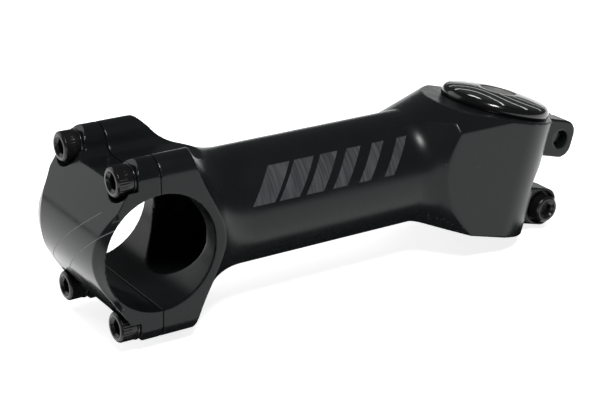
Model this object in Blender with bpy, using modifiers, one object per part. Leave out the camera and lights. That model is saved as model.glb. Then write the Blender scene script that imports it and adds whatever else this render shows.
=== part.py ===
"""A handlebar stem for a threadless fork, as an assembly of separate pieces.

The extension runs along X, from the handlebar clamp at -X to the steerer clamp at the origin.
The origin is the centre of the steerer bore at the clamp's lower face. Lengths are in metres, +Z is up.
Run it with: blender --background --python part.py
"""

import math

import bmesh
import bpy
from mathutils import Matrix, Vector

MM = 0.001
GAP = 0.3 * MM  # what pieces that touch keep between them

# The whole stem
EXTENSION = 120 * MM  # from the handlebar's axis to the steerer's
TILT = math.radians(15)  # how far the steerer leans back from square to the extension
TUBE_R = 16.3 * MM
CORE_R = 14.3 * MM  # the hollow inside the extension
CORE_END = 93 * MM

# Handlebar clamp, measured from the handlebar's axis
BAR_R = 15.9 * MM
CLAMP_HALF = 19.7 * MM  # half the clamp's width
LUG_Y, LUG_Z = 14.75 * MM, 20 * MM  # axes of the four faceplate bolts
LUG_R = CLAMP_HALF - LUG_Y
VALLEY_Z = 18.2 * MM  # floor of the groove between two lugs
VALLEY_FILLET = 3.5 * MM
FLARE_R = 22 * MM  # the sweep that joins the clamp to the extension
FLARE_END = 30.4 * MM
FLARE_TURN = math.radians(80)
TAPPED_DEPTH = 9.8 * MM

# Faceplate
PLATE_R = 17.5 * MM  # its round front
PLATE_TURN = math.radians(32.9)  # where the round front turns into the flat slopes
SPOT_X = -6.3 * MM  # the flat under each bolt head
SPOT_R = 5.2 * MM
WAIST_HALF = 15.2 * MM  # half the front's width at its waist
WAIST_CURVE = 24.5  # how fast the waist widens, per metre of height squared

# Steerer clamp, measured from where the two axes cross
STEERER_R = 14.3 * MM
CLAMP_ABOVE, CLAMP_BELOW = 13 * MM, 22.2 * MM
CLAMP_R = 19.5 * MM
BACK_U = -2.3 * MM  # centre of the round back
SHOULDER_R = 24.4 * MM
CONE_X, CONE_SLOPE = 91.3 * MM, math.radians(40)  # where the flare is as wide as the clamp
CONE_LEAN = TILT * 0.4  # how far the flare leans forwards as it rises
FILLET_R = 9 * MM  # between the extension and the flare
ROOF_X, ROOF_Y, ROOF_Z = 91.5 * MM, -6 * MM, 17.5 * MM  # a point of the crown's ridge
ROOF_R, ROOF_SLOPE = 40 * MM, math.radians(18.5)
EAR_U = 22.6 * MM  # the pinch bolts' distance behind the steerer's axis
EAR_R = 5.2 * MM
EAR_HALF, EAR_SEAT = 8.3 * MM, 5.8 * MM  # an ear's plain side, and the flat under its bolt head
UPPER_W, LOWER_W = 6.7 * MM, -15.1 * MM  # the two pinch bolts' heights
EAR_HIGH = 5.8 * MM  # half an ear's height
SLIT = 1.7 * MM
WINDOW_U, WINDOW_R = 16.4 * MM, 8.6 * MM  # the round opening between the ears

# M5 socket head bolts and their washers
SHANK_R, HOLE_R = 2.5 * MM, 2.8 * MM
HEAD_R, HEAD_LONG = 4.1 * MM, 4.2 * MM
SOCKET_FLATS, SOCKET_DEEP = 4 * MM, 2.4 * MM
WASHER_R, WASHER_THICK = 4.3 * MM, 0.5 * MM
FACE_SHANK = 15.3 * MM
PINCH_SHANK = 12.6 * MM

# Top cap
CAP_R, CAP_HIGH = 16.4 * MM, 4.6 * MM
CAP_HOLE_R, CAP_SEAT_R = 3.3 * MM, 5.3 * MM
SPIGOT_R, SPIGOT_DEEP = 13.4 * MM, 1.6 * MM

ROUND_SIDES = 64
BOLT_SIDES = 24

CROSSING = Vector((math.sin(TILT), 0, math.cos(TILT))) * CLAMP_BELOW
STEERER = Matrix.Translation(CROSSING) @ Matrix.Rotation(TILT, 4, "Y")
BAR = Matrix.Translation(CROSSING - Vector((EXTENSION, 0, 0)))
TO_FRONT = Matrix.Rotation(-math.pi / 2, 4, "Y")  # local Z points along -X
TO_NEAR = Matrix.Rotation(math.pi / 2, 4, "X")  # local Z points along -Y
TO_FAR = Matrix.Rotation(-math.pi / 2, 4, "X")  # local Z points along +Y
SECTION = Matrix(((0, 0, 1, 0), (1, 0, 0, 0), (0, 1, 0, 0), (0, 0, 0, 1)))  # local XY is world YZ


def clear_scene():
    for obj in list(bpy.data.objects):
        bpy.data.objects.remove(obj)


def collection(name):
    made = bpy.data.collections.new(name)
    bpy.context.scene.collection.children.link(made)
    return made


def material(name, colour, metallic, roughness):
    made = bpy.data.materials.new(name)
    made.use_nodes = True
    shader = made.node_tree.nodes["Principled BSDF"]
    shader.inputs["Base Color"].default_value = (*colour, 1)
    shader.inputs["Metallic"].default_value = metallic
    shader.inputs["Roughness"].default_value = roughness
    return made


def added(name, mesh, place):
    """A new object among the cutters. piece() moves it to the parts."""
    obj = bpy.data.objects.new(name, mesh)
    obj.matrix_world = place
    obj.hide_render = True
    obj.display_type = "WIRE"
    CUTTERS.objects.link(obj)
    return obj


def cylinder(name, radius, length, place, sides=ROUND_SIDES):
    """A cylinder about local Z, centred on place."""
    shape = bmesh.new()
    bmesh.ops.create_cone(
        shape, cap_ends=True, segments=sides, radius1=radius, radius2=radius, depth=length
    )
    mesh = bpy.data.meshes.new(name)
    shape.to_mesh(mesh)
    shape.free()
    return added(name, mesh, place)


def box(name, size, place):
    shape = bmesh.new()
    bmesh.ops.create_cube(shape, size=1)
    bmesh.ops.scale(shape, vec=size, verts=shape.verts)
    mesh = bpy.data.meshes.new(name)
    shape.to_mesh(mesh)
    shape.free()
    return added(name, mesh, place)


def turned(name, profile, place, sides=ROUND_SIDES, ring=False):
    """A solid turned about local Z from (radius, height) points that run down its outer side."""
    mesh = bpy.data.meshes.new(name)
    count = len(profile)
    edges = [(i, i + 1) for i in range(count - 1)] + ([(count - 1, 0)] if ring else [])
    mesh.from_pydata([(r, 0, h) for r, h in profile], edges, [])
    obj = added(name, mesh, place)
    screw = obj.modifiers.new("Turn", "SCREW")
    screw.steps = screw.render_steps = sides
    screw.use_merge_vertices = True
    screw.merge_threshold = 0.00001
    return obj


def extruded(name, outline, thickness, place):
    """A flat outline in local XY made solid, half its thickness each way along local Z."""
    curve = bpy.data.curves.new(name, "CURVE")
    curve.dimensions = "2D"
    curve.fill_mode = "BOTH"
    curve.extrude = thickness / 2
    spline = curve.splines.new("POLY")
    spline.points.add(len(outline) - 1)
    for point, (x, y) in zip(spline.points, outline):
        point.co = (x, y, 0, 1)
    spline.use_cyclic_u = True
    drawn = added(name + "_outline", curve, place)
    mesh = bpy.data.meshes.new_from_object(drawn.evaluated_get(bpy.context.evaluated_depsgraph_get()))
    shape = bmesh.new()
    shape.from_mesh(mesh)
    bmesh.ops.remove_doubles(shape, verts=shape.verts, dist=0.000001)
    bmesh.ops.recalc_face_normals(shape, faces=shape.faces)
    shape.to_mesh(mesh)
    shape.free()
    bpy.data.objects.remove(drawn)
    return added(name, mesh, place)


def arc(x, y, radius, start, end, steps):
    """Points round (x, y) from one angle to another, both ends included."""
    angles = [start + (end - start) * i / steps for i in range(steps + 1)]
    return [(x + radius * math.cos(a), y + radius * math.sin(a)) for a in angles]


def combine(obj, operation, *others):
    for other in others:
        boolean = obj.modifiers.new(other.name, "BOOLEAN")
        boolean.operation = operation
        boolean.solver = "EXACT"
        boolean.object = other
    return obj


def piece(name, obj, finish, parent=None):
    """Applies the modifiers, and files the solid among the parts under its own name."""
    graph = bpy.context.evaluated_depsgraph_get()
    mesh = bpy.data.meshes.new_from_object(obj.evaluated_get(graph))
    mesh.name = name
    mesh.shade_smooth()
    mesh.set_sharp_from_angle(angle=math.radians(25))
    mesh.materials.clear()
    mesh.materials.append(finish)
    made = bpy.data.objects.new(name, mesh)
    made.matrix_world = obj.matrix_world.copy()
    PARTS.objects.link(made)
    bpy.data.objects.remove(obj)
    if parent:
        made.parent = parent
        made.matrix_parent_inverse = parent.matrix_world.inverted()
    return made


def lug_section():
    """The handlebar clamp seen along X: four round lugs with a filleted groove between each pair."""
    rise = VALLEY_Z + VALLEY_FILLET - LUG_Z
    reach = LUG_R + VALLEY_FILLET
    run = math.sqrt(reach**2 - rise**2)
    meet = math.asin(rise / reach)
    right = arc(LUG_Y, LUG_Z, LUG_R, 0, math.pi - meet, 12)
    right += arc(LUG_Y - run, VALLEY_Z + VALLEY_FILLET, VALLEY_FILLET, -meet, -math.pi / 2, 6)
    upper = right + [(-y, z) for y, z in reversed(right)]
    return upper + [(-y, -z) for y, z in upper]


def lug_places(x):
    """Where each faceplate bolt's axis meets a plane across X, with local Z out of the bolt's head."""
    for side, y in (("near", -LUG_Y), ("far", LUG_Y)):
        for level, z in (("upper", LUG_Z), ("lower", -LUG_Z)):
            yield f"{level}_{side}", BAR @ Matrix.Translation((x, y, z)) @ TO_FRONT


def pinch_places(v):
    """The same for the two pinch bolts, whose heads face opposite ways. v is the distance from the middle."""
    for level, w, side, turn in (("upper", UPPER_W, 1, TO_FAR), ("lower", LOWER_W, -1, TO_NEAR)):
        yield level, STEERER @ Matrix.Translation((EAR_U, side * v, w)) @ turn


def bar_flare():
    """The sweep out of the extension, then the extension itself, turned about X."""
    sweep = [
        (TUBE_R + FLARE_R * (1 - math.cos(a)), FLARE_R * math.sin(a) - FLARE_END)
        for a in [FLARE_TURN * (1 - i / 16) for i in range(17)]
    ]
    wide = sweep[0][0]
    tube_end = -105 * MM
    profile = [(0, -GAP / 2), (wide, -GAP / 2), *sweep, (TUBE_R, tube_end), (0, tube_end)]
    return turned("extension", profile, BAR @ TO_FRONT)


def steerer_flare():
    """Round the extension: a fillet, then a cone that opens to the clamp's flanks and leans with height."""
    radius, slope = FILLET_R, math.tan(CONE_SLOPE)
    inside = TUBE_R - 0.06 * MM
    cone_start = inside + radius * (1 - math.cos(CONE_SLOPE))
    fillet_x = -(CLAMP_R - cone_start) / slope - radius * math.sin(CONE_SLOPE)
    fillet = [
        (inside + radius * (1 - math.cos(a)), -fillet_x - radius * math.sin(a))
        for a in [CONE_SLOPE * i / 6 for i in range(7)]
    ]
    front, far, back = -20 * MM, 26 * MM, 60 * MM
    wide = CLAMP_R + far * slope
    flare = turned(
        "steerer_flare",
        [(0, -front), (inside, -front), *fillet, (wide, -far), (wide, -back), (0, -back)],
        Matrix.Identity(4),
    )
    graph = bpy.context.evaluated_depsgraph_get()
    mesh = bpy.data.meshes.new_from_object(flare.evaluated_get(graph))
    bpy.data.objects.remove(flare)
    lean = Matrix.Identity(4)
    lean[0][2] = -math.tan(CONE_LEAN)
    mesh.transform(BAR @ Matrix.Translation((CONE_X, 0, 0)) @ lean @ TO_FRONT)
    return added("flare", mesh, Matrix.Identity(4))


def roof():
    """The shallow crown that the clamp's upper front corner is trimmed to."""
    deep = -80 * MM
    crown = arc(ROOF_Y, -ROOF_R, ROOF_R, math.radians(35), math.radians(145), 24)
    crown += [(crown[-1][0], deep), (crown[0][0], deep)]
    place = BAR @ Matrix.Translation((ROOF_X, 0, ROOF_Z)) @ Matrix.Rotation(-ROOF_SLOPE, 4, "Y")
    return extruded("roof", crown, 160 * MM, place @ SECTION)


def steerer_block():
    """Flat flanks and a round back, flared towards the extension and rounded off along its upper edges."""
    front = -45 * MM
    plan = arc(BACK_U, 0, CLAMP_R, -math.pi / 2, math.pi / 2, 32) + [(front, CLAMP_R), (front, -CLAMP_R)]
    high = CLAMP_ABOVE + CLAMP_BELOW
    middle = Matrix.Translation((0, 0, (CLAMP_ABOVE - CLAMP_BELOW) / 2))
    block = extruded("steerer_block", plan, high, STEERER @ middle)

    deep = -40 * MM
    arch = arc(0, 0, SHOULDER_R, 0, math.pi, 32) + [(-SHOULDER_R, deep), (SHOULDER_R, deep)]
    shoulder = extruded("shoulder", arch, 120 * MM, BAR @ Matrix.Translation((EXTENSION, 0, 0)) @ SECTION)
    return combine(block, "INTERSECT", steerer_flare(), shoulder, roof())


def ear(level, w):
    """One lug of the split clamp, seen from the side: square at the clamp and rounded behind."""
    corner = 4 * MM
    back, top, start = EAR_R + EAR_U, EAR_HIGH, 12 * MM
    outline = [(start, -top)]
    outline += arc(back - corner, corner - top, corner, -math.pi / 2, 0, 6)
    outline += arc(back - corner, top - corner, corner, 0, math.pi / 2, 6)
    outline += [(start, top)]
    return extruded(f"{level}_ear", outline, 2 * EAR_HALF, STEERER @ Matrix.Translation((0, 0, w)) @ TO_NEAR)


def ear_window():
    """The opening between the ears, which reaches through the back of the clamp to the bore."""
    floor = LOWER_W + EAR_HIGH
    centre_u = WINDOW_U
    centre_w = UPPER_W - EAR_HIGH - WINDOW_R
    out = 40 * MM
    drop = math.asin((centre_w - floor) / WINDOW_R)
    outline = arc(centre_u, centre_w, WINDOW_R, math.pi / 2, math.pi + drop, 10)
    outline += [(out, floor), (out, UPPER_W - EAR_HIGH)]
    return extruded("ear_window", outline, 60 * MM, STEERER @ TO_NEAR)


def body_cutters():
    """Everything that is bored, drilled or sawn out of the body."""
    reach = 70 * MM
    core = cylinder(
        "hollow_core", CORE_R, CORE_END, BAR @ Matrix.Translation((CORE_END / 2, 0, 0)) @ TO_FRONT
    )
    bar = cylinder("bar_bore", BAR_R, reach, BAR @ TO_NEAR, 96)
    steerer = cylinder("steerer_bore", STEERER_R, reach, STEERER)
    slit = box("clamp_slit", (30 * MM, SLIT, reach), STEERER @ Matrix.Translation((25 * MM, 0, 0)))
    yield from (bar, core, steerer, slit, ear_window())
    for name, place in lug_places(0):
        yield cylinder(f"tapped_hole_{name}", HOLE_R, 2 * TAPPED_DEPTH, place, BOLT_SIDES)
    for name, place in pinch_places(0):
        yield cylinder(f"pinch_hole_{name}", HOLE_R, reach, place, BOLT_SIDES)
    deep = 20 * MM
    for name, place in pinch_places(EAR_SEAT + deep / 2):
        yield cylinder(f"pinch_seat_{name}", SPOT_R, deep, place, 48)


def stem_body(finish):
    body = bar_flare()
    length = 115 * MM
    middle = Matrix.Translation((length / 2 + GAP / 2, 0, 0))
    lugs = extruded("lug_section", lug_section(), length, BAR @ middle @ SECTION)
    combine(body, "INTERSECT", lugs)
    combine(body, "UNION", steerer_block(), ear("upper", UPPER_W), ear("lower", LOWER_W))
    combine(body, "DIFFERENCE", *body_cutters())
    return piece("stem_body", body, finish)


def plate_outline():
    """The faceplate seen from the side: a round front, and a flat slope to each pair of lugs."""
    high = LUG_Z + LUG_R
    turn_x, turn_z = -PLATE_R * math.cos(PLATE_TURN), PLATE_R * math.sin(PLATE_TURN)
    end_x = turn_x + (high - turn_z) * math.tan(PLATE_TURN)
    front = arc(0, 0, PLATE_R, math.pi - PLATE_TURN, math.pi + PLATE_TURN, 24)
    seam = -GAP / 2
    return [(seam, high), (end_x, high), *front, (end_x, -high), (seam, -high)]


def plate_front(angle):
    """How far the faceplate's front is from the bar's axis, at an angle above or below its middle."""
    past = max(abs(angle) - PLATE_TURN, 0)
    return PLATE_R / math.cos(past)


def waist_cutter(side):
    """A loft that bevels one edge of the faceplate, most at the waist and running out above and below it."""
    inner_r, outer_r = BAR_R + 0.2 * MM, 24 * MM
    steps, span = 20, math.radians(52)
    shape = bmesh.new()
    rings = []
    for i in range(steps + 1):
        angle = span * (2 * i / steps - 1)
        front = plate_front(angle)
        edge = WAIST_HALF + WAIST_CURVE * (front * math.sin(angle)) ** 2
        slope = (edge - CLAMP_HALF) / (front - inner_r)
        far_y = CLAMP_HALF + slope * (outer_r - inner_r)
        corners = [(inner_r, CLAMP_HALF), (outer_r, far_y), (outer_r, 30 * MM), (inner_r, 30 * MM)]
        rings.append(
            [shape.verts.new((-r * math.cos(angle), side * y, r * math.sin(angle))) for r, y in corners]
        )
    for low, high in zip(rings, rings[1:]):
        for i in range(4):
            j = (i + 1) % 4
            shape.faces.new((low[i], low[j], high[j], high[i]))
    shape.faces.new(rings[0])
    shape.faces.new(rings[-1])
    bmesh.ops.recalc_face_normals(shape, faces=shape.faces)
    mesh = bpy.data.meshes.new("waist")
    shape.to_mesh(mesh)
    shape.free()
    return added(f"waist_{side}", mesh, BAR)


def faceplate(finish):
    plate = extruded("plate", plate_outline(), 2 * CLAMP_HALF + MM, BAR @ TO_NEAR)
    length = 40 * MM
    lugs = extruded(
        "plate_lug_section", lug_section(), length, BAR @ Matrix.Translation((-length / 2, 0, 0)) @ SECTION
    )
    combine(plate, "INTERSECT", lugs)
    combine(plate, "DIFFERENCE", cylinder("plate_bore", BAR_R, 60 * MM, BAR @ TO_NEAR, 96))
    combine(plate, "DIFFERENCE", waist_cutter(-1), waist_cutter(1))
    deep = 12 * MM
    for name, place in lug_places(SPOT_X - deep / 2):
        combine(plate, "DIFFERENCE", cylinder(f"spot_{name}", SPOT_R, deep, place, 48))
    for name, place in lug_places(0):
        combine(plate, "DIFFERENCE", cylinder(f"plate_hole_{name}", HOLE_R, 40 * MM, place, BOLT_SIDES))
    return piece("faceplate", plate, finish)


def bolt(name, shank, place, finish, parent):
    """A socket head bolt. Local Z points out of the head, and the washer's outer face is at zero."""
    chamfer, tip = 0.5 * MM, 0.6 * MM
    profile = [
        (0, HEAD_LONG),
        (HEAD_R - chamfer, HEAD_LONG),
        (HEAD_R, HEAD_LONG - chamfer),
        (HEAD_R, 0),
        (SHANK_R, 0),
        (SHANK_R, tip - shank),
        (SHANK_R - tip, -shank),
        (0, -shank),
    ]
    turned_bolt = turned(name + "_turned", profile, place, BOLT_SIDES)
    key = cylinder(
        name + "_socket",
        SOCKET_FLATS / math.sqrt(3),
        2 * SOCKET_DEEP,
        place @ Matrix.Translation((0, 0, HEAD_LONG)),
        6,
    )
    return piece(name, combine(turned_bolt, "DIFFERENCE", key), finish, parent)


def washer(name, place, finish, parent):
    """A flat ring whose under side lies at zero."""
    ring = [(WASHER_R, WASHER_THICK), (WASHER_R, 0), (HOLE_R, 0), (HOLE_R, WASHER_THICK)]
    return piece(name, turned(name + "_ring", ring, place, BOLT_SIDES, ring=True), finish, parent)


def fasteners(kind, places, shank, finish, parent):
    """A washer and a bolt at each place, where place is the seat that the washer lies on."""
    for name, place in places:
        seat = place @ Matrix.Translation((0, 0, GAP))
        ring = washer(f"{kind}_washer_{name}", seat, finish, parent)
        under_head = seat @ Matrix.Translation((0, 0, WASHER_THICK + GAP))
        bolt(f"{kind}_bolt_{name}", shank, under_head, finish, ring)


def top_cap(finish, parent):
    """A low dome with a countersunk hole, and a spigot that centres it in the steerer."""
    edge = 2.4 * MM
    dome = [
        (CAP_R - edge + edge * math.sin(a), CAP_HIGH - 1.1 * MM - edge * (1 - math.cos(a)))
        for a in [math.pi / 2 * i / 6 for i in range(7)]
    ]
    profile = [
        (CAP_SEAT_R, CAP_HIGH),
        ((CAP_SEAT_R + CAP_R) / 2, CAP_HIGH - 0.4 * MM),
        *dome,
        (CAP_R, 0),
        (SPIGOT_R, 0),
        (SPIGOT_R, -SPIGOT_DEEP),
        (CAP_HOLE_R, -SPIGOT_DEEP),
        (CAP_HOLE_R, 1.4 * MM),
    ]
    seat = STEERER @ Matrix.Translation((0, 0, CLAMP_ABOVE + GAP))
    return piece("top_cap", turned("cap_turned", profile, seat, ROUND_SIDES, ring=True), finish, parent)


clear_scene()
PARTS = collection("handlebar_stem")
CUTTERS = collection("cutters")

anodised = material("black_anodised", (0.03, 0.033, 0.038), 0.6, 0.42)
anodised_plate = material("black_anodised_plate", (0.035, 0.038, 0.043), 0.6, 0.36)
black_oxide = material("black_oxide_steel", (0.02, 0.02, 0.022), 0.9, 0.28)
cap_black = material("gloss_black_cap", (0.012, 0.012, 0.013), 0.0, 0.2)

body_piece = stem_body(anodised)
plate_piece = faceplate(anodised_plate)
fasteners("face", lug_places(SPOT_X), FACE_SHANK, black_oxide, plate_piece)
fasteners("pinch", pinch_places(EAR_SEAT), PINCH_SHANK, black_oxide, body_piece)
top_cap(cap_black, body_piece)
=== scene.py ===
"""The looks of a handlebar stem: its fine pieces, their finishes, the floor, the lights and the camera."""

import math

import bmesh
import bpy
from mathutils import Matrix, Vector


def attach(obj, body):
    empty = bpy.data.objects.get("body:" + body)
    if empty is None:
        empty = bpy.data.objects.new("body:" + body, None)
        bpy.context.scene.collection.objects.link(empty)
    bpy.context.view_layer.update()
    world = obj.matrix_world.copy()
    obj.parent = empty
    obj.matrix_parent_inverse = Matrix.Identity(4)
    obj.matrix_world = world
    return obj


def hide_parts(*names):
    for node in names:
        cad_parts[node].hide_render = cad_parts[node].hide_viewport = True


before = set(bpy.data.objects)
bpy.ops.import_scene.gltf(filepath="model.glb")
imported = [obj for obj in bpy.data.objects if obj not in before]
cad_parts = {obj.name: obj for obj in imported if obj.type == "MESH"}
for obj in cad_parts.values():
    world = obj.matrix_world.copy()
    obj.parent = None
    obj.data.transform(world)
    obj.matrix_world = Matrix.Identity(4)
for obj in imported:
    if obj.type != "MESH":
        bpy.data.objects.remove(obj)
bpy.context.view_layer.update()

MM = 0.001
WITHIN = 0.03 * MM  # how far the lugs' fine skin stays inside the CAD's

# The stem's driving sizes, as in the CAD, and the sizes of its finer detail
EXTENSION = 120 * MM
TILT = math.radians(15)
TUBE_R, CORE_R, CORE_END = 16.3 * MM, 14.3 * MM, 93 * MM
BAR_R, CLAMP_HALF, SEAM = 15.9 * MM, 19.7 * MM, 0.12 * MM
LUG_Y, LUG_Z = 14.75 * MM, 20 * MM
LUG_R = CLAMP_HALF - LUG_Y - WITHIN
VALLEY_Z, VALLEY_FILLET = 18.2 * MM, 3.5 * MM
FLARE_R, FLARE_END, FLARE_TURN = 22 * MM, 30.4 * MM, math.radians(80)
PLATE_R, PLATE_TURN = 17.5 * MM, math.radians(32.9)
SPOT_X, SPOT_R = -6.3 * MM, 5.2 * MM
WAIST_HALF, WAIST_CURVE = 15.2 * MM, 24.5
STEERER_R, CLAMP_ABOVE, CLAMP_BELOW, CLAMP_R = 14.3 * MM, 13 * MM, 22.2 * MM, 19.5 * MM
SHOULDER_R = 24.4 * MM
CONE_X, CONE_SLOPE, CONE_LEAN = 91.3 * MM, math.radians(40), TILT * 0.4
FILLET_R, FLARE_SUNK = 9 * MM, 0.06 * MM
ROOF_X, ROOF_Y, ROOF_Z, ROOF_R, ROOF_SLOPE = 91.5 * MM, -6 * MM, 17.5 * MM, 40 * MM, math.radians(18.5)
EAR_U, EAR_R, EAR_HALF, EAR_SEAT = 22.6 * MM, 5.2 * MM, 8.3 * MM, 5.8 * MM
EAR_CORNER = 4 * MM
UPPER_W, LOWER_W, EAR_HIGH = 6.7 * MM, -15.1 * MM, 5.8 * MM
BACK_U = -2.3 * MM
SLIT, WINDOW_U, WINDOW_R = 1.7 * MM, 16.4 * MM, 8.6 * MM
SHANK_R, HOLE_R, HEAD_R, HEAD_LONG = 2.5 * MM, 2.65 * MM, 4.1 * MM, 4.6 * MM
FACE_SHANK, PINCH_SHANK, TAPPED_DEEP = 15 * MM, 12.4 * MM, 9.8 * MM
SOCKET_HALF = 2 * MM
WASHER_R, WASHER_THICK = 4.3 * MM, 0.6 * MM
PITCH, THREAD_DEEP = 0.8 * MM, 0.38 * MM
KNURL_TEETH, KNURL_DEEP = 36, 0.16 * MM
KNURL_LOW, KNURL_HIGH = 1.9 * MM, HEAD_LONG - 0.7 * MM
CAP_R, CAP_HIGH, CAP_SEAT_R, CAP_HOLE_R = 16.4 * MM, 4.6 * MM, 5.3 * MM, 3.3 * MM
CAP_DROP, CAP_EDGE, CAP_SPIGOT_R = 1.1 * MM, 2.4 * MM, 13.4 * MM
SKIN = 0.35 * MM  # grain of the skin that rounds the machined edges
PLATE_SKIN = SKIN * 0.7

# Where the axes of the steerer and the extension cross, and the frames of both ends
CROSSING = Vector((math.sin(TILT), 0, math.cos(TILT))) * CLAMP_BELOW
STEERER = Matrix.Translation(CROSSING) @ Matrix.Rotation(TILT, 4, "Y")
BAR = Matrix.Translation(CROSSING - Vector((EXTENSION, 0, 0)))
# Turns that point local Z to the front, the near side and the far side, and one that stands an
# outline up across the stem
TO_FRONT = Matrix.Rotation(-math.pi / 2, 4, "Y")
TO_NEAR = Matrix.Rotation(math.pi / 2, 4, "X")
TO_FAR = Matrix.Rotation(-math.pi / 2, 4, "X")
SECTION = Matrix(((0, 0, 1, 0), (1, 0, 0, 0), (0, 1, 0, 0), (0, 0, 0, 1)))
FINE, BORE_FINE, BOLT_FINE, SEAT_FINE, HOLE_FINE = 160, 224, 144, 96, 48  # sides of rounds
FAR_OUT = 70 * MM  # a length that passes right through the stem from either side


# ---------------------------------------------------------------- shapes
def shape_object(name, shape, place):
    """An object from a bmesh, with its place put into its mesh."""
    bmesh.ops.recalc_face_normals(shape, faces=shape.faces)
    shape.transform(place)
    mesh = bpy.data.meshes.new(name)
    shape.to_mesh(mesh)
    shape.free()
    obj = bpy.data.objects.new(name, mesh)
    bpy.context.scene.collection.objects.link(obj)
    return obj


def cylinder(name, radius, length, place, sides=FINE):
    shape = bmesh.new()
    bmesh.ops.create_cone(
        shape, cap_ends=True, segments=sides, radius1=radius, radius2=radius, depth=length
    )
    return shape_object(name, shape, place)


def box(name, size, place):
    shape = bmesh.new()
    bmesh.ops.create_cube(shape, size=1)
    bmesh.ops.scale(shape, vec=size, verts=shape.verts)
    return shape_object(name, shape, place)


def spun(name, profile, place, sides=FINE, ring=False, radius_at=None):
    """A solid of rings about local Z. A profile point on the axis closes it, ring joins the last
    point to the first, and radius_at may change a ring's radius round its circle."""
    shape = bmesh.new()
    rings = []
    for r, h in profile:
        if r < 1e-7:
            rings.append([shape.verts.new((0, 0, h))])
            continue
        ring_points = []
        for i in range(sides):
            a = math.tau * i / sides
            reach = radius_at(r, h, a) if radius_at else r
            ring_points.append(shape.verts.new((reach * math.cos(a), reach * math.sin(a), h)))
        rings.append(ring_points)
    pairs = list(zip(rings, rings[1:])) + ([(rings[-1], rings[0])] if ring else [])
    for upper, lower in pairs:
        for i in range(sides):
            j = (i + 1) % sides
            corners = [upper[i % len(upper)], upper[j % len(upper)]]
            corners += [lower[j % len(lower)], lower[i % len(lower)]]
            shape.faces.new(list(dict.fromkeys(corners)))
    return shape_object(name, shape, place)


def extruded(name, outline, thickness, place):
    """A flat outline in local XY, half its thickness each way along local Z."""
    shape = bmesh.new()
    base = shape.faces.new([shape.verts.new((x, y, -thickness / 2)) for x, y in outline])
    grown = bmesh.ops.extrude_face_region(shape, geom=[base])["geom"]
    top = [v for v in grown if isinstance(v, bmesh.types.BMVert)]
    bmesh.ops.translate(shape, vec=(0, 0, thickness), verts=top)
    return shape_object(name, shape, place)


def arc(x, y, radius, start, end, steps):
    angles = [start + (end - start) * i / steps for i in range(steps + 1)]
    return [(x + radius * math.cos(a), y + radius * math.sin(a)) for a in angles]


def settle(obj):
    """Applies the modifiers."""
    graph = bpy.context.evaluated_depsgraph_get()
    mesh = bpy.data.meshes.new_from_object(obj.evaluated_get(graph))
    obj.modifiers.clear()
    obj.data = mesh
    return obj


def combine(obj, operation, *others):
    """Cuts, joins or intersects one solid after another, and removes each as it is used."""
    for other in others:
        boolean = obj.modifiers.new(other.name, "BOOLEAN")
        boolean.operation = operation
        boolean.solver = "EXACT"
        boolean.object = other
        settle(obj)
        bpy.data.objects.remove(other)
    return obj


def softened(obj, grain, passes):
    """Rounds every edge and corner a little, as blasting and anodising do, on an even skin of small faces."""
    skin = obj.modifiers.new("Skin", "REMESH")
    skin.mode = "VOXEL"
    skin.voxel_size = grain
    ease = obj.modifiers.new("Ease", "SMOOTH")
    ease.factor = 0.5
    ease.iterations = passes
    return settle(obj)


def smooth(obj, angle=30):
    obj.data.shade_smooth()
    obj.data.set_sharp_from_angle(angle=math.radians(angle))
    return obj


def shown(obj, name, body, finish, nodes):
    """Names a finished piece, gives it its finish and lets it ride on its body."""
    obj.name = obj.data.name = name
    obj.data.materials.clear()
    obj.data.materials.append(finish)
    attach(obj, body)
    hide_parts(*nodes)
    return obj


# ---------------------------------------------------------------- body and faceplate
def lug_section():
    """The handlebar clamp seen along X: four round lugs with a filleted groove between each pair."""
    rise = VALLEY_Z + VALLEY_FILLET - LUG_Z
    reach = LUG_R + VALLEY_FILLET
    run, meet = math.sqrt(reach**2 - rise**2), math.asin(rise / reach)
    right = arc(LUG_Y, LUG_Z, LUG_R, 0, math.pi - meet, 30)
    right += arc(LUG_Y - run, VALLEY_Z + VALLEY_FILLET, VALLEY_FILLET, -meet, -math.pi / 2, 12)
    upper = right + [(-y, z) for y, z in reversed(right)]
    return upper + [(-y, -z) for y, z in upper]


def lug_places(x):
    """The four bolt axes of the handlebar clamp, at a distance along X from its bore's axis."""
    for side, y in (("near", -LUG_Y), ("far", LUG_Y)):
        for level, z in (("upper", LUG_Z), ("lower", -LUG_Z)):
            yield f"{level}_{side}", BAR @ Matrix.Translation((x, y, z)) @ TO_FRONT


def pinch_places(v):
    """The two pinch bolts' axes, at a distance from the slit towards each bolt's own head."""
    for level, w, side, turn in (("upper", UPPER_W, 1, TO_FAR), ("lower", LOWER_W, -1, TO_NEAR)):
        yield level, STEERER @ Matrix.Translation((EAR_U, side * v, w)) @ turn


def bar_flare():
    """The round extension, and the trumpet that it opens into at the handlebar clamp."""
    steps = 40
    sweep = [
        (TUBE_R + FLARE_R * (1 - math.cos(a)), FLARE_R * math.sin(a) - FLARE_END)
        for a in [FLARE_TURN * (1 - i / steps) for i in range(steps + 1)]
    ]
    tube_end = -105 * MM
    profile = [(0, -SEAM), (sweep[0][0], -SEAM), *sweep, (TUBE_R, tube_end), (0, tube_end)]
    return spun("extension", profile, BAR @ TO_FRONT)


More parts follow.
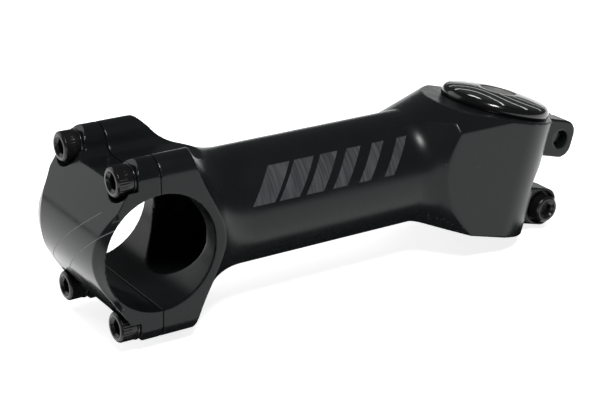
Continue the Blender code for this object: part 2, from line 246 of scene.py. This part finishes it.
def steerer_flare():
    """Round the extension: a fillet, then a cone that opens to the clamp's flanks and leans with height."""
    slope, steps = math.tan(CONE_SLOPE), 16
    inside = TUBE_R - FLARE_SUNK
    cone_start = inside + FILLET_R * (1 - math.cos(CONE_SLOPE))
    fillet_x = -(CLAMP_R - cone_start) / slope - FILLET_R * math.sin(CONE_SLOPE)
    fillet = [
        (inside + FILLET_R * (1 - math.cos(a)), -fillet_x - FILLET_R * math.sin(a))
        for a in [CONE_SLOPE * i / steps for i in range(steps + 1)]
    ]
    front, far, back = -20 * MM, 26 * MM, 60 * MM
    wide = CLAMP_R + far * slope
    lean = Matrix.Identity(4)
    lean[0][2] = -math.tan(CONE_LEAN)
    profile = [(0, -front), (inside, -front), *fillet, (wide, -far), (wide, -back), (0, -back)]
    return spun("flare", profile, BAR @ Matrix.Translation((CONE_X, 0, 0)) @ lean @ TO_FRONT)


def roof():
    """The shallow crown that the clamp's upper front corner is trimmed to."""
    deep = -80 * MM
    crown = arc(ROOF_Y, -ROOF_R, ROOF_R, math.radians(35), math.radians(145), 60)
    crown += [(crown[-1][0], deep), (crown[0][0], deep)]
    place = BAR @ Matrix.Translation((ROOF_X, 0, ROOF_Z)) @ Matrix.Rotation(-ROOF_SLOPE, 4, "Y")
    return extruded("roof", crown, 160 * MM, place @ SECTION)


def steerer_block():
    """The steerer clamp: round at the back, flat at the sides, and trimmed by its flare and roof."""
    front = -45 * MM
    plan = arc(BACK_U, 0, CLAMP_R, -math.pi / 2, math.pi / 2, 80) + [(front, CLAMP_R), (front, -CLAMP_R)]
    middle = Matrix.Translation((0, 0, (CLAMP_ABOVE - CLAMP_BELOW) / 2))
    block = extruded("steerer_block", plan, CLAMP_ABOVE + CLAMP_BELOW, STEERER @ middle)
    deep = -40 * MM
    arch = arc(0, 0, SHOULDER_R, 0, math.pi, 80) + [(-SHOULDER_R, deep), (SHOULDER_R, deep)]
    shoulder = extruded("shoulder", arch, 120 * MM, BAR @ Matrix.Translation((EXTENSION, 0, 0)) @ SECTION)
    return combine(block, "INTERSECT", steerer_flare(), shoulder, roof())


def ear(level, w):
    """A pinch lug across the back of the steerer clamp."""
    back, start = EAR_R + EAR_U, 12 * MM
    corner_u, corner_w = back - EAR_CORNER, EAR_HIGH - EAR_CORNER
    outline = [(start, -EAR_HIGH)]
    outline += arc(corner_u, -corner_w, EAR_CORNER, -math.pi / 2, 0, 16)
    outline += arc(corner_u, corner_w, EAR_CORNER, 0, math.pi / 2, 16)
    outline += [(start, EAR_HIGH)]
    return extruded(f"{level}_ear", outline, 2 * EAR_HALF, STEERER @ Matrix.Translation((0, 0, w)) @ TO_NEAR)


def ear_window():
    """The scallop between the two pinch lugs, open at the back."""
    floor, ceiling, out = LOWER_W + EAR_HIGH, UPPER_W - EAR_HIGH, 40 * MM
    centre_w = ceiling - WINDOW_R
    drop = math.asin((centre_w - floor) / WINDOW_R)
    outline = arc(WINDOW_U, centre_w, WINDOW_R, math.pi / 2, math.pi + drop, 30)
    outline += [(out, floor), (out, ceiling)]
    return extruded("ear_window", outline, 60 * MM, STEERER @ TO_NEAR)


def body_cutters():
    """Everything that is bored, slit or sunk into the body."""
    core_place = BAR @ Matrix.Translation((CORE_END / 2, 0, 0)) @ TO_FRONT
    core = cylinder("hollow_core", CORE_R, CORE_END, core_place)
    slit_long, slit_middle = 30 * MM, 25 * MM
    slit_place = STEERER @ Matrix.Translation((slit_middle, 0, 0))
    slit = box("clamp_slit", (slit_long, SLIT, FAR_OUT), slit_place)
    yield from (cylinder("bar_bore", BAR_R, FAR_OUT, BAR @ TO_NEAR, BORE_FINE), core)
    yield from (cylinder("steerer_bore", STEERER_R, FAR_OUT, STEERER), slit, ear_window())
    for name, place in lug_places(0):
        yield cylinder(f"tapped_hole_{name}", HOLE_R, 2 * TAPPED_DEEP, place, HOLE_FINE)
    for name, place in pinch_places(0):
        yield cylinder(f"pinch_hole_{name}", HOLE_R, FAR_OUT, place, HOLE_FINE)
    deep = 20 * MM
    for name, place in pinch_places(EAR_SEAT + deep / 2):
        yield cylinder(f"pinch_seat_{name}", SPOT_R, deep, place, SEAT_FINE)


def stem_body(finish):
    """The forged body, from the half of the handlebar clamp to the two pinch lugs."""
    body = bar_flare()
    length = 115 * MM
    middle = Matrix.Translation((length / 2 + SEAM, 0, 0))
    combine(body, "INTERSECT", extruded("lug_section", lug_section(), length, BAR @ middle @ SECTION))
    combine(body, "UNION", steerer_block(), ear("upper", UPPER_W), ear("lower", LOWER_W))
    combine(body, "DIFFERENCE", *body_cutters())
    body = smooth(softened(body, SKIN, 5))
    return shown(body, "stem_body_fine", "stem_body", finish, ["stem_body"])


def plate_outline():
    """The faceplate from the side: a round front between two flat slopes, and flat ends."""
    high = LUG_Z + LUG_R
    turn_x, turn_z = -PLATE_R * math.cos(PLATE_TURN), PLATE_R * math.sin(PLATE_TURN)
    end_x = turn_x + (high - turn_z) * math.tan(PLATE_TURN)
    front = arc(0, 0, PLATE_R, math.pi - PLATE_TURN, math.pi + PLATE_TURN, 60)
    return [(-SEAM, high), (end_x, high), *front, (end_x, -high), (-SEAM, -high)]


def waist_cutter(side):
    """A loft that bevels one edge of the faceplate, most at the waist and running out above and below it."""
    inner_r, outer_r, out = BAR_R + 0.2 * MM, 24 * MM, 30 * MM
    steps, span = 64, math.radians(52)
    shape = bmesh.new()
    rings = []
    for i in range(steps + 1):
        angle = span * (2 * i / steps - 1)
        front = PLATE_R / math.cos(max(abs(angle) - PLATE_TURN, 0))
        edge = WAIST_HALF + WAIST_CURVE * (front * math.sin(angle)) ** 2
        slope = (edge - CLAMP_HALF) / (front - inner_r)
        far_y = CLAMP_HALF + slope * (outer_r - inner_r)
        corners = [(inner_r, CLAMP_HALF), (outer_r, far_y), (outer_r, out), (inner_r, out)]
        rings.append(
            [shape.verts.new((-r * math.cos(angle), side * y, r * math.sin(angle))) for r, y in corners]
        )
    for low, high in zip(rings, rings[1:]):
        for i in range(4):
            j = (i + 1) % 4
            shape.faces.new((low[i], low[j], high[j], high[i]))
    shape.faces.new(rings[0])
    shape.faces.new(rings[-1])
    return shape_object(f"waist_{side}", shape, BAR)


def faceplate(finish):
    """The plate that closes the handlebar clamp, sunk under each bolt and bevelled at its waist."""
    plate = extruded("plate", plate_outline(), 2 * CLAMP_HALF + MM, BAR @ TO_NEAR)
    length = 40 * MM
    middle = Matrix.Translation((-length / 2, 0, 0))
    combine(plate, "INTERSECT", extruded("plate_lugs", lug_section(), length, BAR @ middle @ SECTION))
    combine(plate, "DIFFERENCE", cylinder("plate_bore", BAR_R, 60 * MM, BAR @ TO_NEAR, BORE_FINE))
    combine(plate, "DIFFERENCE", waist_cutter(-1), waist_cutter(1))
    deep = 12 * MM
    for name, place in lug_places(SPOT_X - deep / 2):
        combine(plate, "DIFFERENCE", cylinder(f"spot_{name}", SPOT_R, deep, place, SEAT_FINE))
    for name, place in lug_places(0):
        combine(plate, "DIFFERENCE", cylinder(f"plate_hole_{name}", HOLE_R, length, place, HOLE_FINE))
    plate = smooth(softened(plate, PLATE_SKIN, 4))
    return shown(plate, "faceplate_fine", "faceplate", finish, ["faceplate"])


# ---------------------------------------------------------------- fasteners and cap
def worked_round(r, h, a):
    """The hexagon of the socket, the straight knurl on the head and the screw thread on the shank."""
    socket = r == SOCKET_HALF and h > 0
    shank = r == SHANK_R and h < 0
    knurled = r == HEAD_R and KNURL_LOW <= h <= KNURL_HIGH
    if socket:
        return r / math.cos((a + math.pi / 6) % (math.pi / 3) - math.pi / 6)
    if shank:
        return r - THREAD_DEEP * abs(((h / PITCH - a / math.tau) % 1) * 2 - 1)
    if knurled:
        return r - KNURL_DEEP * (0.5 + 0.5 * math.cos(KNURL_TEETH * a))
    return r


def bolt(name, shank, place, finish, body):
    """A socket head bolt. Local Z points out of the head, and zero is under the head."""
    chamfer, mouth, floor = 0.55 * MM, 2.75 * MM, HEAD_LONG - 2.4 * MM
    rings_a_turn, blank, tip = 6, 0.4 * MM, 0.7 * MM
    thread_rings = int(shank / PITCH * rings_a_turn) - 8
    thread = [(SHANK_R, -blank - i * PITCH / rings_a_turn) for i in range(thread_rings)]
    profile = [
        (0, floor - 0.5 * MM),
        (SOCKET_HALF, floor),
        (SOCKET_HALF, HEAD_LONG - 0.75 * MM),
        (mouth - 0.25 * MM, HEAD_LONG - 0.42 * MM),
        (mouth, HEAD_LONG - 0.1 * MM),
        (mouth + 0.12 * MM, HEAD_LONG),
        (HEAD_R - chamfer - 0.2 * MM, HEAD_LONG),
        (HEAD_R - chamfer, HEAD_LONG - 0.06 * MM),
        (HEAD_R - 0.2 * MM, HEAD_LONG - 0.35 * MM),
        (HEAD_R - 0.06 * MM, HEAD_LONG - 0.55 * MM),
        (HEAD_R, KNURL_HIGH),
        (HEAD_R, KNURL_LOW),
        (HEAD_R, 1.65 * MM),
        (HEAD_R, 0.3 * MM),
        (HEAD_R - 0.08 * MM, 0.08 * MM),
        (HEAD_R - 0.3 * MM, 0),
        (SHANK_R, 0),
        *thread,
        (SHANK_R - tip, -shank),
        (0, -shank),
    ]
    made = smooth(spun(name, profile, place, BOLT_FINE, radius_at=worked_round), 35)
    return shown(made, name + "_fine", body, finish, [name])


def washer(name, place, finish, body):
    """A thin ring, a little rounded outside."""
    soft = 0.12 * MM
    ring = [
        (WASHER_R - soft, WASHER_THICK),
        (WASHER_R, WASHER_THICK - soft),
        (WASHER_R, soft),
        (WASHER_R - soft, 0),
        (HOLE_R, 0),
        (HOLE_R, WASHER_THICK),
    ]
    made = smooth(spun(name, ring, place, SEAT_FINE, ring=True), 50)
    return shown(made, name + "_fine", body, finish, [name])


def fasteners(kind, places, shank, finish):
    """A washer on each seat and a bolt on each washer."""
    for name, seat in places:
        washer(f"{kind}_washer_{name}", seat, finish, f"{kind}_washer_{name}")
        under = seat @ Matrix.Translation((0, 0, WASHER_THICK))
        bolt(f"{kind}_bolt_{name}", shank, under, finish, f"{kind}_bolt_{name}")


def top_cap(finish):
    """The cap: a shallow dome with a round edge, a recessed bolt seat, and a spigot in the bore."""
    lip_r, seat_low, spigot_low, ease = CAP_SEAT_R - 0.05 * MM, 2.7 * MM, -1.6 * MM, 0.25 * MM
    rim_r = CAP_R - CAP_EDGE
    dome = [
        (CAP_SEAT_R + ease + (rim_r - CAP_SEAT_R) * t, CAP_HIGH - CAP_DROP * t**1.6)
        for t in [i / 16 for i in range(16)]
    ]
    edge = [
        (rim_r + CAP_EDGE * math.sin(a), CAP_HIGH - CAP_DROP - CAP_EDGE * (1 - math.cos(a)))
        for a in [math.pi / 2 * i / 20 for i in range(1, 21)]
    ]
    profile = [
        (lip_r, CAP_HIGH - ease),
        (CAP_SEAT_R + 0.05 * MM, CAP_HIGH - 0.08 * MM),
        *dome,
        *edge,
        (CAP_R, 0.3 * MM),
        (CAP_R - ease, 0),
        (CAP_SPIGOT_R, 0),
        (CAP_SPIGOT_R, spigot_low + 0.3 * MM),
        (CAP_SPIGOT_R - 0.3 * MM, spigot_low),
        (CAP_HOLE_R, spigot_low),
        (CAP_HOLE_R, 1.5 * MM),
        (CAP_SEAT_R - 0.5 * MM, seat_low - 0.1 * MM),
        (CAP_SEAT_R - ease, seat_low),
    ]
    seat = STEERER @ Matrix.Translation((0, 0, CLAMP_ABOVE + 0.05 * MM))
    cap = smooth(spun("cap", profile, seat, FINE, ring=True), 40)
    return shown(cap, "top_cap_fine", "top_cap", finish, ["top_cap"])


# ---------------------------------------------------------------- finishes
def node(tree, kind, **values):
    made = tree.nodes.new(kind)
    for key, value in values.items():
        setattr(made, key, value)
    return made


def feed(tree, socket, value):
    """Links a socket to another, or sets its constant."""
    if isinstance(value, bpy.types.NodeSocket):
        tree.links.new(value, socket)
    else:
        socket.default_value = value


def maths(tree, operation, a, b=0.0, clamp=False):
    made = node(tree, "ShaderNodeMath", operation=operation, use_clamp=clamp)
    feed(tree, made.inputs[0], a)
    feed(tree, made.inputs[1], b)
    return made.outputs[0]


def plus(tree, a, b):
    return maths(tree, "ADD", a, b)


def minus(tree, a, b):
    return maths(tree, "SUBTRACT", a, b)


def times(tree, first, *others):
    for other in others:
        first = maths(tree, "MULTIPLY", first, other)
    return first


def ramp(tree, value, low, high, to_low=0.0, to_high=1.0):
    """A smooth step from one value to another while the first input goes from low to high."""
    made = node(tree, "ShaderNodeMapRange", interpolation_type="SMOOTHSTEP")
    for index, part in enumerate((value, low, high, to_low, to_high)):
        feed(tree, made.inputs[index], part)
    return made.outputs[0]


def noise(tree, vector, scale, detail=2.0, stretch=(1, 1, 1)):
    """Soft noise, drawn out along an axis where its stretch is small."""
    spread = node(tree, "ShaderNodeMapping")
    spread.inputs["Scale"].default_value = stretch
    tree.links.new(vector, spread.inputs["Vector"])
    made = node(tree, "ShaderNodeTexNoise")
    made.inputs["Scale"].default_value = scale
    made.inputs["Detail"].default_value = detail
    tree.links.new(spread.outputs[0], made.inputs["Vector"])
    return made.outputs["Fac"]


def blend(tree, mask, a, b):
    """The first colour where the mask is nought, and the second where it is one."""
    made = node(tree, "ShaderNodeMix", data_type="RGBA")
    feed(tree, made.inputs["Factor"], mask)
    for socket, colour in ((made.inputs[6], a), (made.inputs[7], b)):
        feed(tree, socket, colour if isinstance(colour, bpy.types.NodeSocket) else (*colour, 1))
    return made.outputs[2]


def seen_from(tree, turn, shift):
    """The surface's own coordinates in metres, turned and moved to a part's frame: X, Y and Z apart."""
    place = node(tree, "ShaderNodeTexCoord").outputs["Object"]
    moved = node(tree, "ShaderNodeMapping")
    moved.inputs["Rotation"].default_value = turn
    moved.inputs["Location"].default_value = shift
    tree.links.new(place, moved.inputs["Vector"])
    apart = node(tree, "ShaderNodeSeparateXYZ")
    tree.links.new(moved.outputs[0], apart.inputs[0])
    return apart.outputs


TRAITS = ("Grain", "Cloud", "Edge", "Scratch")


def surface_group():
    """Grain, slow clouds, worn edges and stray scratches, for every metal and the cap alike."""
    made = bpy.data.node_groups.new("worked_surface", "ShaderNodeTree")
    grain_size = made.interface.new_socket("Grain Size", in_out="INPUT", socket_type="NodeSocketFloat")
    grain_size.default_value = 3000
    wear_amount = made.interface.new_socket("Wear", in_out="INPUT", socket_type="NodeSocketFloat")
    wear_amount.default_value = 0.5
    for name in TRAITS:
        made.interface.new_socket(name, in_out="OUTPUT", socket_type="NodeSocketFloat")
    given, out = made.nodes.new("NodeGroupInput"), made.nodes.new("NodeGroupOutput")
    place = node(made, "ShaderNodeTexCoord").outputs["Object"]
    grain = node(made, "ShaderNodeTexNoise")
    grain.inputs["Detail"].default_value = 3.0
    made.links.new(given.outputs["Grain Size"], grain.inputs["Scale"])
    made.links.new(place, grain.inputs["Vector"])
    cloud = noise(made, place, 55, 3.0)
    sharp = ramp(made, node(made, "ShaderNodeNewGeometry").outputs["Pointiness"], 0.56, 0.66)
    patchy = ramp(made, noise(made, place, 420, 4.0), 0.35, 0.7)
    edge = maths(made, "MULTIPLY", times(made, sharp, patchy), given.outputs["Wear"], clamp=True)
    streak = ramp(made, noise(made, place, 900, 2.0, (0.12, 1, 1)), 0.7, 0.76)
    scratch = times(made, streak, ramp(made, noise(made, place, 90, 2.0), 0.52, 0.7))
    for name, value in zip(TRAITS, (grain.outputs["Fac"], cloud, edge, scratch)):
        made.links.new(value, out.inputs[name])
    return made


SURFACE = surface_group()
BLACK, DEEP_BLACK = (0.005, 0.006, 0.0065), (0.0035, 0.0042, 0.0045)


def finish_base(name, colour, metallic, roughness, specular=0.5):
    """A material whose Principled shader has its plain values set."""
    made = bpy.data.materials.new(name)
    made.use_nodes = True
    shader = made.node_tree.nodes["Principled BSDF"]
    shader.inputs["Base Color"].default_value = (*colour, 1)
    shader.inputs["Metallic"].default_value = metallic
    shader.inputs["Roughness"].default_value = roughness
    shader.inputs["Specular IOR Level"].default_value = specular
    return made, made.node_tree, shader


def surfaced(tree, grain_size, wear):
    """The shared surface with its own grain and wear: its grain, cloud, edge and scratch."""
    made = node(tree, "ShaderNodeGroup", node_tree=SURFACE)
    made.inputs["Grain Size"].default_value = grain_size
    made.inputs["Wear"].default_value = wear
    return [made.outputs[name] for name in TRAITS]


def rubbed(tree, colour, edge, scratch, bare):
    """The paler bare metal, full on the worn edges and faint in the scratches."""
    faint = 0.12
    return blend(tree, plus(tree, edge, times(tree, scratch, faint)), colour, bare)


def uneven(tree, cloud, smallest, largest, fine, share):
    """Roughness that drifts with the clouds between two values, plus a share of a fine pattern."""
    return plus(tree, ramp(tree, cloud, 0.3, 0.7, smallest, largest), times(tree, fine, share))


def paint(tree, shader, colour, roughness):
    """Gives the shader its varying colour and roughness."""
    tree.links.new(colour, shader.inputs["Base Color"])
    tree.links.new(roughness, shader.inputs["Roughness"])


def bump(tree, shader, height, strength, distance):
    made = node(tree, "ShaderNodeBump")
    made.inputs["Strength"].default_value = strength
    made.inputs["Distance"].default_value = distance
    tree.links.new(height, made.inputs["Height"])
    tree.links.new(made.outputs[0], shader.inputs["Normal"])


def band(tree, value, middle, half, soft):
    """One inside a band about the middle value, and nought outside it."""
    off = maths(tree, "ABSOLUTE", minus(tree, value, middle))
    return ramp(tree, off, half - soft, half + soft, 1.0, 0.0)


def from_middle(tree, value):
    """How far the value is from the middle between two whole numbers, up to a half."""
    return maths(tree, "ABSOLUTE", minus(tree, maths(tree, "FRACT", value), 0.5))


def speed_bars(tree):
    """A row of slanted bars that thin out along the extension, high on both of its sides."""
    x, y, z = seen_from(tree, (0, 0, 0), -BAR.translation)
    rise = maths(tree, "ARCTAN2", z, maths(tree, "ABSOLUTE", y))
    middle, half = math.radians(36), math.radians(18)
    high = band(tree, rise, middle, half, math.radians(0.6))
    lean = times(tree, minus(tree, rise, middle), TUBE_R * 0.8)
    along = minus(tree, x, lean)
    start, length, count = 33 * MM, 49 * MM, 6
    part = times(tree, minus(tree, along, start), count / length)
    width = ramp(tree, along, start, start + length, 0.43, 0.2)
    bar = ramp(tree, minus(tree, from_middle(tree, part), width), -0.015, 0.015, 1.0, 0.0)
    inside = band(tree, along, start + length / 2, length / 2, 0.05 * MM)
    return times(tree, bar, inside, high)


def body_finish():
    """Satin anodising over a blasted surface, with the bars etched into it."""
    made, tree, shader = finish_base("satin_black_anodising", BLACK, 0.0, 0.3, 0.2)
    grain, cloud, edge, scratch = surfaced(tree, 5200, 0.35)
    marks = speed_bars(tree)
    place = node(tree, "ShaderNodeTexCoord").outputs["Object"]
    brushed = ramp(tree, noise(tree, place, 1500, 3.0, (1, 0.05, 0.05)), 0.3, 0.7)
    etched = blend(tree, brushed, (0.022, 0.024, 0.026), (0.05, 0.054, 0.056))
    colour = blend(tree, cloud, DEEP_BLACK, (0.0065, 0.0075, 0.008))
    colour = blend(tree, marks, colour, etched)
    colour = rubbed(tree, colour, edge, scratch, (0.06, 0.062, 0.062))
    rough = uneven(tree, cloud, 0.2, 0.27, grain, 0.06)
    paint(tree, shader, colour, plus(tree, rough, times(tree, marks, 0.22)))
    height = minus(tree, times(tree, grain, 0.35), times(tree, marks, 0.5))
    bump(tree, shader, minus(tree, height, times(tree, scratch, 0.1)), 0.16, 0.03 * MM)
    return made


def plate_finish():
    """Machined and anodised, with a pair of slanting grooves engraved across its round front."""
    made, tree, shader = finish_base("machined_black_anodising", BLACK, 0.0, 0.2, 0.2)
    grain, cloud, edge, scratch = surfaced(tree, 6500, 0.7)
    x, y, z = seen_from(tree, (0, 0, 0), -BAR.translation)
    slant = plus(tree, z, times(tree, y, 0.8))
    half, soft = 0.17 * MM, 0.08 * MM
    lower, upper = (band(tree, slant, height, half, soft) for height in (-6.5 * MM, 1.5 * MM))
    front = ramp(tree, x, -13.5 * MM, -13 * MM, 1.0, 0.0)
    groove = times(tree, plus(tree, lower, upper), front)
    colour = blend(tree, cloud, DEEP_BLACK, (0.006, 0.007, 0.0075))
    colour = blend(tree, groove, colour, (0.08, 0.084, 0.084))
    colour = rubbed(tree, colour, edge, scratch, (0.07, 0.072, 0.072))
    rough = uneven(tree, cloud, 0.13, 0.19, grain, 0.05)
    paint(tree, shader, colour, plus(tree, rough, times(tree, groove, 0.3)))
    bump(tree, shader, minus(tree, times(tree, grain, 0.2), groove), 0.3, 0.04 * MM)
    return made


def oxide_finish():
    """Oiled black steel, rubbed bright on its edges."""
    made, tree, shader = finish_base("oiled_black_oxide", (0.004, 0.004, 0.0045), 0.0, 0.18, 0.32)
    grain, cloud, edge, scratch = surfaced(tree, 7000, 0.9)
    colour = blend(tree, cloud, (0.003, 0.003, 0.0035), (0.008, 0.008, 0.0085))
    colour = blend(tree, edge, colour, (0.1, 0.1, 0.098))
    paint(tree, shader, colour, uneven(tree, cloud, 0.13, 0.24, grain, 0.08))
    tree.links.new(ramp(tree, edge, 0.0, 1.0, 0.0, 0.6), shader.inputs["Metallic"])
    bump(tree, shader, minus(tree, grain, times(tree, scratch, 0.4)), 0.14, 0.02 * MM)
    return made


def flowing_lines(tree, u, v):
    """Thin lines a few millimetres apart that swing gently from side to side."""
    apart, swing_long, swing_wide = 3.7 * MM, 30 * MM, 2.4 * MM
    across = plus(tree, times(tree, u, 0.77), times(tree, v, 0.64))
    along = minus(tree, times(tree, u, 0.64), times(tree, v, 0.77))
    swing = times(tree, maths(tree, "SINE", times(tree, along, math.tau / swing_long)), swing_wide)
    flow = maths(tree, "DIVIDE", plus(tree, across, swing), apart)
    return ramp(tree, from_middle(tree, flow), 0.045, 0.065, 1.0, 0.0)


def cap_finish():
    """Gloss black over a fine diagonal weave, with flowing pale pinstripes and a pale bolt seat."""
    made, tree, shader = finish_base("gloss_black_cap", (0.006, 0.006, 0.006), 0.0, 0.12, 0.3)
    shader.inputs["Coat Roughness"].default_value = 0.06
    grain, cloud, edge, scratch = surfaced(tree, 4000, 0.3)
    u, v, w = seen_from(tree, (0, -TILT, 0), (0, 0, -CLAMP_BELOW))
    radius = maths(tree, "SQRT", plus(tree, times(tree, u, u), times(tree, v, v)))
    weave_turn = math.tau / (0.85 * MM)
    rising = maths(tree, "SINE", times(tree, plus(tree, u, v), weave_turn))
    falling = maths(tree, "SINE", times(tree, minus(tree, u, v), weave_turn))
    weave = ramp(tree, times(tree, rising, falling), -0.5, 0.5)
    line = flowing_lines(tree, u, v)
    top = ramp(tree, w, CLAMP_ABOVE + 2.2 * MM, CLAMP_ABOVE + 2.3 * MM)
    outside = ramp(tree, radius, CAP_SEAT_R + 1.3 * MM, CAP_SEAT_R + 1.4 * MM)
    within = ramp(tree, radius, CAP_R - 0.9 * MM, CAP_R - 0.8 * MM, 1.0, 0.0)
    line = times(tree, times(tree, line, top), times(tree, outside, within))
    seat = ramp(tree, radius, CAP_SEAT_R - 0.05 * MM, CAP_SEAT_R + 0.02 * MM, 1.0, 0.0)
    bare = blend(tree, cloud, (0.16, 0.16, 0.155), (0.24, 0.24, 0.23))
    colour = blend(tree, times(tree, weave, within), (0.004, 0.004, 0.0045), (0.02, 0.021, 0.021))
    colour = blend(tree, line, colour, (0.62, 0.64, 0.62))
    colour = blend(tree, seat, colour, bare)
    colour = blend(tree, edge, colour, (0.05, 0.05, 0.05))
    rough = uneven(tree, cloud, 0.1, 0.16, weave, 0.1)
    paint(tree, shader, colour, plus(tree, rough, times(tree, seat, 0.25)))
    tree.links.new(ramp(tree, seat, 0.0, 1.0, 0.25, 0.0), shader.inputs["Coat Weight"])
    height = plus(tree, times(tree, weave, 0.6), times(tree, grain, 0.3))
    bump(tree, shader, minus(tree, height, times(tree, scratch, 0.2)), 0.1, 0.02 * MM)
    return made


body_black = body_finish()
plate_black = plate_finish()
oxide = oxide_finish()
cap_gloss = cap_finish()

stem_body(body_black)
faceplate(plate_black)
fasteners("face", lug_places(SPOT_X), FACE_SHANK, oxide)
fasteners("pinch", pinch_places(EAR_SEAT), PINCH_SHANK, oxide)
top_cap(cap_gloss)


# ---------------------------------------------------------------- studio
def studio():
    """A softly glowing pale floor, and two dark cards on it that only the stem's reflections see, painting
    shade into them.
    """
    floor_z, card_lift, card_thick = -6.2 * MM, 0.5 * MM, 0.2 * MM
    bpy.ops.mesh.primitive_plane_add(size=5, location=(0, 0, floor_z))
    floor = bpy.context.object
    floor.name = "floor"
    pale, black = (0.85, 0.85, 0.85), (0.002, 0.002, 0.002)
    paper, _, glow = finish_base("pale_floor", pale, 0.0, 0.9, 0.0)
    glow.inputs["Emission Color"].default_value = (1, 1, 1, 1)
    glow.inputs["Emission Strength"].default_value = 0.82
    floor.data.materials.append(paper)

    # Dark cards that paint the shade under the tube and beside the faceplate's waist into the stem's
    # reflections; camera, shadows and diffuse light pass them by.
    shade_card_finish, _, _ = finish_base("painted_shade_black", black, 0.0, 1.0, 0.0)
    cards = (("shade_card_under", -52, -3, 150, 44), ("shade_card_beside", -180, -62, 95, 85))
    for name, x, y, long, wide in cards:
        place = Matrix.Translation((x * MM, y * MM, floor_z + card_lift))
        shade_card = box(name, (long * MM, wide * MM, card_thick), place)
        shade_card.data.materials.append(shade_card_finish)
        shade_card.visible_camera = shade_card.visible_shadow = shade_card.visible_diffuse = False

    world = bpy.data.worlds.new("studio")
    bpy.context.scene.world = world
    world.use_nodes = True
    world.node_tree.nodes["Background"].inputs["Color"].default_value = (0.93, 0.98, 1, 1)
    world.node_tree.nodes["Background"].inputs["Strength"].default_value = 0.1


def softbox(name, direction, away, size, power, reflected=True):
    """A rectangular soft light, aimed at the stem's middle."""
    light = bpy.data.lights.new(name, "AREA")
    light.shape = "RECTANGLE"
    light.size, light.size_y = size
    light.energy = power
    obj = bpy.data.objects.new(name, light)
    bpy.context.scene.collection.objects.link(obj)
    middle = CROSSING - Vector((EXTENSION / 2, 0, 0))
    back = Vector(direction).normalized()
    obj.location = middle + back * away
    obj.rotation_mode = "QUATERNION"
    obj.rotation_quaternion = back.to_track_quat("Z", "Y")
    obj.visible_glossy = reflected
    return obj


def camera():
    """A short telephoto that looks down on the handlebar end from the near side."""
    azimuth, elevation, roll = math.radians(-33.63), math.radians(22.12), math.radians(1.01)
    away = 460 * MM
    aim = BAR @ Vector((56.5 * MM, 2.9 * MM, -5.0 * MM))
    back = Vector(
        (
            math.sin(azimuth) * math.cos(elevation),
            -math.cos(azimuth) * math.cos(elevation),
            math.sin(elevation),
        )
    )
    right = Vector((math.cos(azimuth), math.sin(azimuth), 0))
    up = back.cross(right)
    right, up = (
        right * math.cos(roll) + up * math.sin(roll),
        up * math.cos(roll) - right * math.sin(roll),
    )
    made = bpy.data.cameras.new("camera")
    made.lens, made.sensor_width = 97.7, 36
    obj = bpy.data.objects.new("camera", made)
    bpy.context.scene.collection.objects.link(obj)
    obj.matrix_world = Matrix.Translation(aim + back * away) @ Matrix((right, up, back)).transposed().to_4x4()
    bpy.context.scene.camera = obj


studio()
softbox("overhead", (0, 0.1, 1), 1.3, (1.6, 1.6), 9, reflected=False)
softbox("key", (-0.21, -0.51, 0.83), 1.0, (0.24, 0.24), 8)
softbox("back", (-0.55, 0.77, 0.31), 1.2, (0.9, 0.7), 3)
camera()
bpy.context.scene.view_settings.view_transform = "Standard"
